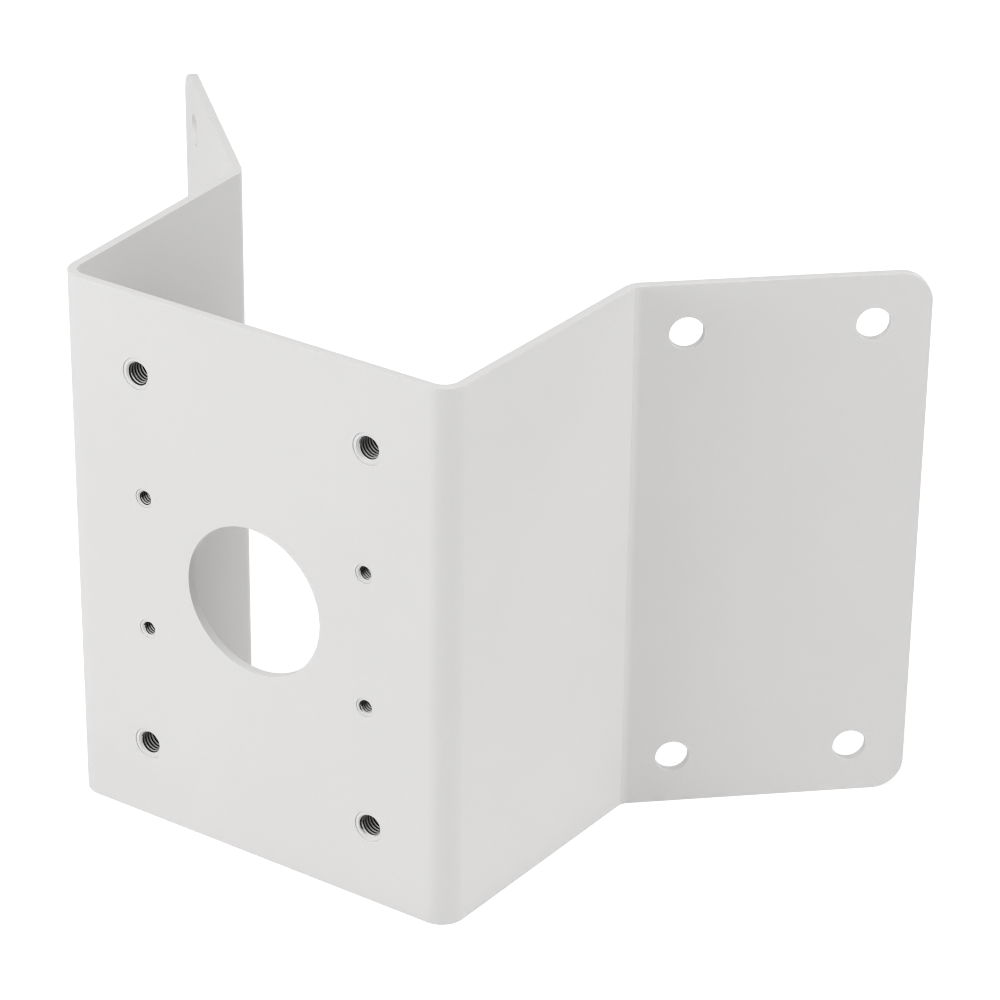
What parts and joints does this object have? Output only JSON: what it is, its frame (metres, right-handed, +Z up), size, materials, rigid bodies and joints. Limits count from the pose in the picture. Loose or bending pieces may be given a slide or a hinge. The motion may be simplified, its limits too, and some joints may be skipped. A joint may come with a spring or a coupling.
{
  "type": "camera corner bracket",
  "caption": "Folded sheet bracket that carries a camera on a building's outside corner, with a cable hole and clinch nuts in its front and bolt holes in its wall flanges.",
  "frame": {"origin": "centre of the cable hole, on the camera face", "axes": "+X to the right seen from the front, +Y from the camera face to the building, +Z up"},
  "size_m": [0.2892, 0.1563, 0.183],
  "materials": {
    "powder_coat": "satin powder coat, light grey",
    "nut_steel": "plated steel, dark in the thread"
  },
  "bodies": {
    "root": {"corner_bracket": "powder_coat", "camera_nuts": "nut_steel", "box_nuts": "nut_steel"}
  },
  "joints": []
}
